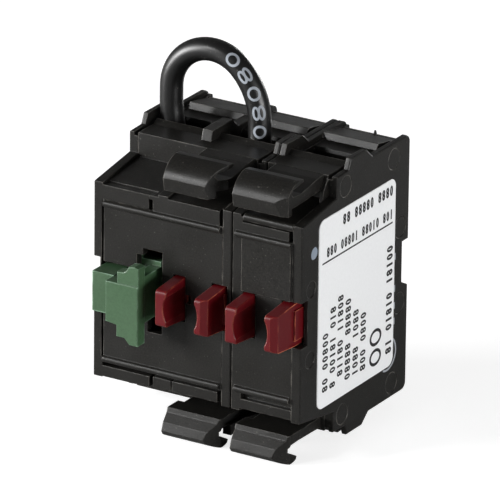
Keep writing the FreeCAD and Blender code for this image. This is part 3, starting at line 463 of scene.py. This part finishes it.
@dataclass
class Workshop:
    """Holds the frame and the finished materials, dresses CAD nodes and turns arrays into pieces."""

    frame: dict[str, Any]
    materials: dict[str, bpy.types.Material] = field(default_factory=dict)

    def material(self, finish: Finish) -> bpy.types.Material:
        """Build a finish's material the first time it is asked for.

        Args:
            finish: the finish.

        Returns:
            Its one material.
        """
        if finish.name not in self.materials:
            self.materials[finish.name] = finish.build()
        return self.materials[finish.name]

    def slot_of(self, node: str) -> Slot:
        """Look up the record's slot of a CAD node.

        Args:
            node: the node's name.

        Returns:
            Its slot.
        """
        for entry in self.frame["record"]["subparts"]:
            if entry["node"] == node:
                return Slot(entry["material_slot"])
        raise KeyError(node)

    def dress(self, starts: tuple[str, ...]) -> None:
        """Give each CAD node whose name starts in one of these ways the finish of its slot.

        Args:
            starts: how the names start.
        """
        for node, thing in self.frame["nodes"].items():
            if node.startswith(starts):
                thing.data.materials.clear()
                thing.data.materials.append(self.material(FINISH_OF[self.slot_of(node)]))
                LOG.info("%s: dressed", node)

    def piece(self, name: str, shape: Shape, finish: Finish, slot: Slot, smooth: bool) -> bpy.types.Object:
        """Make a piece from arrays and put it on the block.

        Args:
            name: name of the new object.
            shape: (n, 3) places in metres, and the corner numbers of each face.
            finish: its finish.
            slot: the record's slot that it belongs to; not used.
            smooth: whether its faces are shaded smooth.

        Returns:
            The new object.
        """
        thing = mesh_object(name, shape, self.material(finish), smooth)
        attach(thing, "block")
        LOG.info("%s: %d faces", name, len(shape[1]))
        return thing


def merged_copy(node: bpy.types.Object) -> Shape:
    """Return a CAD node's mesh as arrays, with the corners of its loose triangles merged.

    Places are counted in steps of MERGE_MM, and equal places become one point.

    Args:
        node: the CAD node.

    Returns:
        (n, 3) places in metres, and the corner numbers of each triangle that is still whole.
    """
    places = np.zeros(3 * len(node.data.vertices))
    node.data.vertices.foreach_get("co", places)
    places = places.reshape(-1, 3)
    corners = np.zeros(len(node.data.loops), dtype=np.int64)
    node.data.loops.foreach_get("vertex_index", corners)
    counted = np.round(places / (MERGE_MM * MM)).astype(np.int64)
    _, first, point_of = np.unique(counted, axis=0, return_index=True, return_inverse=True)
    corners = point_of.reshape(-1)[corners].reshape(-1, 3)
    whole = (corners != np.roll(corners, 1, axis=1)).all(axis=1)
    return places[first], corners[whole]


def ring(centre: Pair, half: Pair, stroke: float, arc_deg: Pair = (0.0, 360.0)) -> Shape:
    """Return a flat elliptical ring, or a stretch of one.

    Each angle has one point on the outer ellipse and one on the inner, which is a stroke smaller.

    Args:
        centre: its middle.
        half: its outer half width and half height.
        stroke: width of the line.
        arc_deg: angles where it starts and ends.

    Returns:
        (n, 2) points and the corner numbers of its faces.
    """
    turn = np.radians(np.linspace(arc_deg[0], arc_deg[1], RING_POINTS))
    outline = np.stack([np.cos(turn), np.sin(turn)], axis=1)
    outer = outline * np.array(half)
    inner = outline * (np.array(half) - stroke)
    start = np.arange(RING_POINTS - 1)
    faces = np.stack([start, start + 1, start + 1 + RING_POINTS, start + RING_POINTS], axis=1)
    return np.vstack([outer, inner]) + np.array(centre), faces


def disc(centre: Pair, radius: float) -> Shape:
    """Return a flat disc of one face, with its points at equal angles round its middle.

    Args:
        centre: its middle.
        radius: its radius.

    Returns:
        (n, 2) points and the corner numbers of its one face.
    """
    turn = np.linspace(0, 2 * math.pi, DISC_POINTS + 1)[:-1]
    points = np.array(centre) + radius * np.stack([np.cos(turn), np.sin(turn)], axis=1)
    return points, np.arange(DISC_POINTS).reshape(1, -1)


def bar(low: Pair, high: Pair) -> Shape:
    """Return a flat bar between two opposite corners."""
    corners = [low, (high[0], low[1]), high, (low[0], high[1])]
    return np.array(corners, dtype=float), np.arange(4).reshape(1, 4)


def joined(parts: list[Shape]) -> Shape:
    """Join several shapes whose faces have equally many corners.

    Each part's corner numbers go up by the number of points before it.

    Args:
        parts: the shapes.

    Returns:
        All of them as one shape.
    """
    starts = np.cumsum([0] + [len(points) for points, _ in parts[:-1]])
    faces = np.vstack([corners + start for (_, corners), start in zip(parts, starts)])
    return np.vstack([points for points, _ in parts]), faces


def number(kind: int, along: float, width: float, height: float, stroke: float) -> list[Shape]:
    """Return a plain 0, 1 or 8 that stands at a place along its line.

    A 0 is one ring, an 8 two rings that share a stroke in the middle, and a 1 an upright bar.

    Args:
        kind: 0, 1 or 8.
        along: middle of the number along the line.
        width: its width.
        height: its height.
        stroke: width of its strokes.

    Returns:
        Its rings or its bar.
    """
    if kind == 1:
        return [bar((along - stroke / 2, -height / 2), (along + stroke / 2, height / 2))]
    if kind == 8:
        half = (width / 2, height / 4 + stroke / 4)
        rise = height / 4 - stroke / 4
        return [ring((along, rise), half, stroke), ring((along, -rise), half, stroke)]
    return [ring((along, 0.0), (width / 2, height / 2), stroke)]


@dataclass
class Mouldings:
    """The housings, covers and sliders, which keep their CAD shape."""

    shop: Workshop

    def build(self) -> None:
        """Dress every moulding."""
        self.shop.dress(("left_module_", "right_module_", "monitor_slider", "plunger_"))


@dataclass
class Internals:
    """Terminals, contacts, contact springs, clamps and the conductor, which keep their CAD shape."""

    shop: Workshop

    def build(self) -> None:
        """Dress every inner node that no piece stands for."""
        self.shop.dress(("contact_", "bridge_", "terminal_", "fixed_", "clamp_", "screw_",
                         "link_wire_conductor"))


@dataclass
class ReturnSprings:
    """The return springs, which shorten towards the rear wall as their plunger or slider goes in."""

    shop: Workshop

    def build(self) -> None:
        """Stand a merged copy in each spring's place and hide the spring's CAD node.
        """
        for joint in self.shop.frame["record"]["behaviour"]["joints"]:
            for bent in joint.get("deforming_nodes", []):
                shape = merged_copy(self.shop.frame["nodes"][bent["node"]])
                slot = self.shop.slot_of(bent["node"])
                coil = self.shop.piece(bent["node"] + "_coil", shape, FINISH_OF[slot], slot, smooth=False)
                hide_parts(bent["node"])
                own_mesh(coil)


@dataclass
class LinkWire:
    """The black link wire over the first two elements, with white numbers along its right leg."""

    shop: Workshop
    # The wire, as the part has it: radii of its section and of its right bend, and where its right leg stands
    y_mm: float = 14.1
    radius_mm: float = 1.475
    leg_x_mm: float = 0.33
    leg_top_mm: float = 19.23
    side_radius_mm: float = 9.3
    # The print: its numbers, where they stand along the wire, their size, and the way that they face
    kinds: tuple[int, ...] = (0, 8, 0, 8, 0)
    first_mm: float = 18.56
    step_mm: float = 2.33
    size_mm: float = 1.75
    stroke_mm: float = 0.32
    ink_out_mm: float = 0.012
    facing_deg: float = 59.0

    def on_surface(self, flat: np.ndarray) -> np.ndarray:
        """Wrap flat marks onto the right leg.

        The centre line runs straight up the leg and then along an arc that bends left. A mark's first
        coordinate is the length along that line. Its second is the length round the wire, which the radius
        turns into an angle.

        Args:
            flat: (n, 2) lengths in millimetres, the first counted from mid-height.

        Returns:
            (n, 3) places in metres.
        """
        above = np.maximum(flat[:, 0] - self.leg_top_mm, 0.0)
        bend = above / self.side_radius_mm
        x = self.leg_x_mm - self.side_radius_mm * (1 - np.cos(bend))
        z = np.minimum(flat[:, 0], self.leg_top_mm) + self.side_radius_mm * np.sin(bend)
        round_it = np.radians(self.facing_deg) - flat[:, 1] / self.radius_mm
        out = (self.radius_mm + self.ink_out_mm) * np.cos(round_it)
        front = (self.radius_mm + self.ink_out_mm) * np.sin(round_it)
        places = np.stack([x + out * np.cos(bend), self.y_mm - front, z + out * np.sin(bend)], axis=1)
        return places * MM

    def build(self) -> None:
        """Dress the wire and print its numbers."""
        self.shop.dress(("link_wire_insulation",))
        parts = []
        for step, kind in enumerate(self.kinds):
            parts += number(kind, self.first_mm + self.step_mm * step, self.size_mm, self.size_mm,
                            self.stroke_mm)
        flat, faces = joined(parts)
        self.shop.piece("link_wire_numbers", (self.on_surface(flat), faces), WIRE_INK, Slot.WIRE_INSULATION,
                        smooth=True)


@dataclass(frozen=True)
class PrintLine:
    """One line of plain numbers on the label, along Y or along Z."""

    along_z: bool
    across_mm: float
    start_mm: float
    end_mm: float
    height_mm: float = 1.35
    pitch_mm: float = 1.0
    stroke_mm: float = 0.28
    # Share of the pitch that a number fills, the numbers in turn, and which place of each group stays empty
    fill: float = 0.74
    kinds: tuple[int, ...] = (0, 8, 1, 0, 8)
    group: int = 6
    gap_at: int = 4

    def marks(self, seed: int) -> Shape:
        """Set out the line's numbers at an even pitch, with a gap in each group.

        Args:
            seed: shifts the order of the numbers and gaps, so that no two lines are alike.

        Returns:
            (n, 2) places as (y, z) in millimetres, and the corner numbers of each face.
        """
        parts = []
        count = round(abs(self.end_mm - self.start_mm) / self.pitch_mm)
        for step in range(count):
            if (step + seed) % self.group == self.gap_at:
                continue
            kind = self.kinds[(step * step + 2 * seed) % len(self.kinds)]
            parts += number(kind, (step + 0.5) * self.pitch_mm, self.fill * self.pitch_mm, self.height_mm,
                            self.stroke_mm)
        flat, faces = joined(parts)
        if self.along_z:
            places = np.stack([self.across_mm - flat[:, 1], self.start_mm + flat[:, 0]], axis=1)
        else:
            places = np.stack([self.start_mm - flat[:, 0], self.across_mm - flat[:, 1]], axis=1)
        return places, faces


@dataclass
class SideLabel:
    """The printed label on the right cover, the painted dot and the silver marks behind its edge.

    Places are (y, z). The sheet and its print both lie inside the thickness of the CAD label, and the dot
    fills the highest mark of the mould pins.
    """

    shop: Workshop
    # The cover's face and the label on it, as the part has them, and how far in the sheet and print end
    face_mm: float = 15.05
    thickness_mm: float = 0.12
    sheet_in_mm: float = 0.012
    print_in_mm: float = 0.004
    # Two lines along Y, then the lines along Z from front to back
    lines: tuple[PrintLine, ...] = (
        PrintLine(False, 11.0, 21.8, 9.0, 1.4, 0.95, 0.3),
        PrintLine(False, 7.85, 21.8, 5.6, 1.3, 0.85, 0.27),
        PrintLine(True, 5.7, -10.7, -3.0),
        PrintLine(True, 7.5, -10.75, 0.7),
        PrintLine(True, 9.3, -10.8, 1.4),
        PrintLine(True, 11.15, -10.9, 0.0),
        PrintLine(True, 13.05, -11.0, -2.0),
        PrintLine(True, 14.9, -11.0, -2.8),
        PrintLine(True, 21.2, -10.9, 3.8, 1.45, 1.05, 0.32),
    )
    # The rule under the lines along Y, and two plain rings
    rule_low_mm: Pair = (4.7, 6.56)
    rule_high_mm: Pair = (21.75, 6.78)
    ring_places_mm: tuple[Pair, ...] = ((18.0, -10.2), (18.0, -7.5))
    ring_half_mm: Pair = (1.45, 1.15)
    ring_stroke_mm: float = 0.42
    # The painted dot
    dot_place_mm: Pair = (3.03, 8.66)
    dot_radius_mm: float = 0.8
    dot_in_mm: float = 0.1
    # The silver marks: an arc at the label's lower rear corner and short tabs along its rear edge
    arc_place_mm: Pair = (21.1, -10.9)
    arc_half_mm: Pair = (2.3, 2.3)
    arc_stroke_mm: float = 0.28
    arc_deg: Pair = (-115.0, 55.0)
    tab_sides_mm: Pair = (22.35, 22.85)
    tab_feet_mm: tuple[float, ...] = (1.3, -3.0, -5.3, -7.4)
    tab_height_mm: float = 0.9
    silver_out_mm: float = 0.01

    def sheet(self) -> None:
        """Stand a slightly thinner sheet in the label's place, which leaves room for the print."""
        places, faces = merged_copy(self.shop.frame["nodes"]["side_label"])
        outer = places[:, 0] > (self.face_mm + self.thickness_mm / 2) * MM
        places[outer, 0] -= self.sheet_in_mm * MM
        thing = self.shop.piece("side_label_sheet", (places, faces), LABEL_PAPER, Slot.LABEL, smooth=False)
        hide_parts("side_label")

    def lay(self, name: str, flat: Shape, out_mm: float, finish: Paper) -> None:
        """Lay flat (y, z) marks on the right side, at a distance out from the cover."""
        places = np.column_stack([np.full(len(flat[0]), self.face_mm + out_mm), flat[0]]) * MM
        self.shop.piece(name, (places, flat[1]), finish, Slot.LABEL, smooth=False)

    def build(self) -> None:
        """Make the sheet, its print, the dot and the silver marks."""
        self.sheet()
        printed = [line.marks(seed) for seed, line in enumerate(self.lines)]
        printed.append(bar(self.rule_low_mm, self.rule_high_mm))
        printed += [ring(place, self.ring_half_mm, self.ring_stroke_mm) for place in self.ring_places_mm]
        self.lay("side_label_print", joined(printed), self.thickness_mm - self.print_in_mm, LABEL_INK)
        self.lay("painted_dot", disc(self.dot_place_mm, self.dot_radius_mm), -self.dot_in_mm, PAINT_DOT)
        low, high = self.tab_sides_mm
        marks = [ring(self.arc_place_mm, self.arc_half_mm, self.arc_stroke_mm, self.arc_deg)]
        marks += [bar((low, foot), (high, foot + self.tab_height_mm)) for foot in self.tab_feet_mm]
        self.lay("silver_marks", joined(marks), self.silver_out_mm, SILVER_INK)


@dataclass(frozen=True)
class Lamp:
    """A square soft lamp: where it stands, the length of its side and its power in watts."""

    name: str
    place_mm: Place
    size_mm: float
    power: float


@dataclass
class Studio:
    """Camera at the photograph's angle, soft lamps, pale floor and backdrop."""

    # The camera, fitted to the photograph
    azimuth_deg: float = 31.011
    elevation_deg: float = 21.581
    roll_deg: float = 0.669
    lens_mm: float = 577.1
    sensor_mm: float = 36.0
    nearest_mm: float = 50.0
    farthest_mm: float = 20000.0
    distance_mm: float = 998.6
    target_mm: Place = (-0.05, 12.0, 0.0)
    move_right_mm: float = 0.401
    move_up_mm: float = 2.724
    # The upper left lamp stands where the bends of the latches and the beads throw its light to the camera.
    lamps: tuple[Lamp, ...] = (
        Lamp("key", (-600.0, -420.0, 100.0), 260.0, 9.6),
        Lamp("upper_left", (-335.0, -502.0, 337.0), 80.0, 1.1),
        Lamp("side", (600.0, -140.0, 20.0), 340.0, 4.4),
        Lamp("rear", (-30.0, 700.0, 0.0), 300.0, 3.6),
    )
    lamps_aim_mm: Place = (0.0, 12.0, 0.0)
    # The floor lies just under the block's lowest point, and is level as far as a camera behind the block
    # may stand. Then it curves up into the wall.
    floor_mm: float = -19.15
    floor_front_mm: float = -1500.0
    floor_rear_mm: float = 1200.0
    floor_half_width_mm: float = 2500.0
    cove_radius_mm: float = 400.0
    cove_steps: int = 12
    wall_top_mm: float = 2000.0
    # How pale and bright the floor and the room are
    floor_colour: str = "c8c8c8"
    floor_glow: float = 0.75
    room_light: float = 0.12
    room_seen: float = 1.0

    def axes(self) -> tuple[Vector, Vector, Vector]:
        """Work out how the camera is turned.

        Back points from the block to the camera, right is level, and up is square to both. The roll then
        turns right and up about back.

        Returns:
            The camera's right, up and back directions.
        """
        turn = math.radians(self.azimuth_deg)
        lift = math.radians(self.elevation_deg)
        roll = math.radians(self.roll_deg)
        back = Vector((math.sin(turn) * math.cos(lift), -math.cos(turn) * math.cos(lift), math.sin(lift)))
        right = Vector((math.cos(turn), math.sin(turn), 0.0))
        up = back.cross(right)
        rolled_right = right * math.cos(roll) + up * math.sin(roll)
        rolled_up = up * math.cos(roll) - right * math.sin(roll)
        return rolled_right, rolled_up, back

    def camera(self) -> None:
        """Place the camera."""
        right, up, back = self.axes()
        data = bpy.data.cameras.new("camera")
        data.lens = self.lens_mm
        data.sensor_width = self.sensor_mm
        data.clip_start = self.nearest_mm * MM
        data.clip_end = self.farthest_mm * MM
        eye = placed("camera", data)
        moved = right * self.move_right_mm + up * self.move_up_mm
        place = Vector(self.target_mm) + back * self.distance_mm + moved
        turned = Matrix((right, up, back)).transposed().to_4x4()
        eye.matrix_world = Matrix.Translation(place * MM) @ turned
        bpy.context.scene.camera = eye

    def hang(self, lamp: Lamp) -> None:
        """Add a lamp that points at the block.

        Args:
            lamp: the lamp.
        """
        data = bpy.data.lights.new(lamp.name, "AREA")
        data.size = lamp.size_mm * MM
        data.energy = lamp.power
        thing = placed(lamp.name, data)
        place = Vector(lamp.place_mm) * MM
        aim = Vector(self.lamps_aim_mm) * MM - place
        thing.matrix_world = Matrix.Translation(place) @ aim.to_track_quat("-Z", "Y").to_matrix().to_4x4()

    def floor(self) -> None:
        """Add a pale floor that curves up into a backdrop.

        Its profile is a level stretch, a quarter circle and an upright stretch. It is carried from the left
        side to the right, and then turned to face the camera.
        """
        turn = np.linspace(0.0, math.pi / 2, self.cove_steps + 1)
        along = self.floor_rear_mm + self.cove_radius_mm * np.sin(turn)
        rise = self.floor_mm + self.cove_radius_mm * (1 - np.cos(turn))
        along = np.concatenate([[self.floor_front_mm], along, along[-1:]]) * MM
        rise = np.concatenate([[self.floor_mm], rise, [self.wall_top_mm]]) * MM
        count = len(along)
        across = np.repeat([-self.floor_half_width_mm * MM, self.floor_half_width_mm * MM], count)
        points = np.stack([across, np.tile(along, 2), np.tile(rise, 2)], axis=1)
        turned = Matrix.Rotation(math.radians(self.azimuth_deg), 3, "Z")
        start = np.arange(count - 1)
        faces = np.stack([start, start + count, start + count + 1, start + 1], axis=1)
        shape = (points @ np.array(turned).T, faces)
        thing = mesh_object("floor", shape, self.floor_material(), smooth=True)

    def floor_material(self) -> bpy.types.Material:
        """Make white paper that the camera sees as white, with the block's shadow kept.

        Returns:
            A dull pale surface, which glows for camera rays only.
        """
        material = empty_material("white_backdrop_paper")
        tree = material.node_tree
        seen = add_node(tree, "LightPath")
        dull = add_node(tree, "BsdfDiffuse", {"Color": linear(self.floor_colour)})
        glow = add_node(tree, "Emission", {"Color": linear("ffffff"), "Strength": self.floor_glow})
        white = add_node(tree, "AddShader", {}, {0: dull.outputs["BSDF"], 1: glow.outputs["Emission"]})
        mix = add_node(tree, "MixShader", {}, {0: seen.outputs["Is Camera Ray"], 1: dull.outputs["BSDF"],
                                               2: white.outputs["Shader"]})
        add_node(tree, "OutputMaterial", {}, {"Surface": mix.outputs["Shader"]})
        return material

    def world(self) -> None:
        """Light the room evenly: white to the camera, much softer on the block."""
        world = bpy.data.worlds.new("studio")
        world.use_nodes = True
        tree = world.node_tree
        tree.nodes.clear()
        seen = add_node(tree, "LightPath")
        glow = add_node(tree, "Background", {"Color": linear("ffffff"), "Strength": self.room_light})
        white = add_node(tree, "Background", {"Color": linear("ffffff"), "Strength": self.room_seen})
        mix = add_node(tree, "MixShader", {}, {0: seen.outputs["Is Camera Ray"],
                                               1: glow.outputs["Background"],
                                               2: white.outputs["Background"]})
        add_node(tree, "OutputWorld", {}, {"Surface": mix.outputs["Shader"]})
        bpy.context.scene.world = world

    def build(self) -> None:
        """Set up the whole studio."""
        self.camera()
        self.floor()
        self.world()
        for lamp in self.lamps:
            self.hang(lamp)
        bpy.context.scene.view_settings.view_transform = "Standard"
        LOG.info("studio: camera, floor and %d lamps", len(self.lamps))


def main() -> None:
    """Build the block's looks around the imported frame."""
    logging.basicConfig(level=logging.INFO, format="%(message)s")
    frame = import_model()
    shop = Workshop(frame)
    Studio().build()
    Mouldings(shop).build()
    LinkWire(shop).build()
    SideLabel(shop).build()
    Internals(shop).build()
    ReturnSprings(shop).build()


if __name__ == "__main__":
    main()
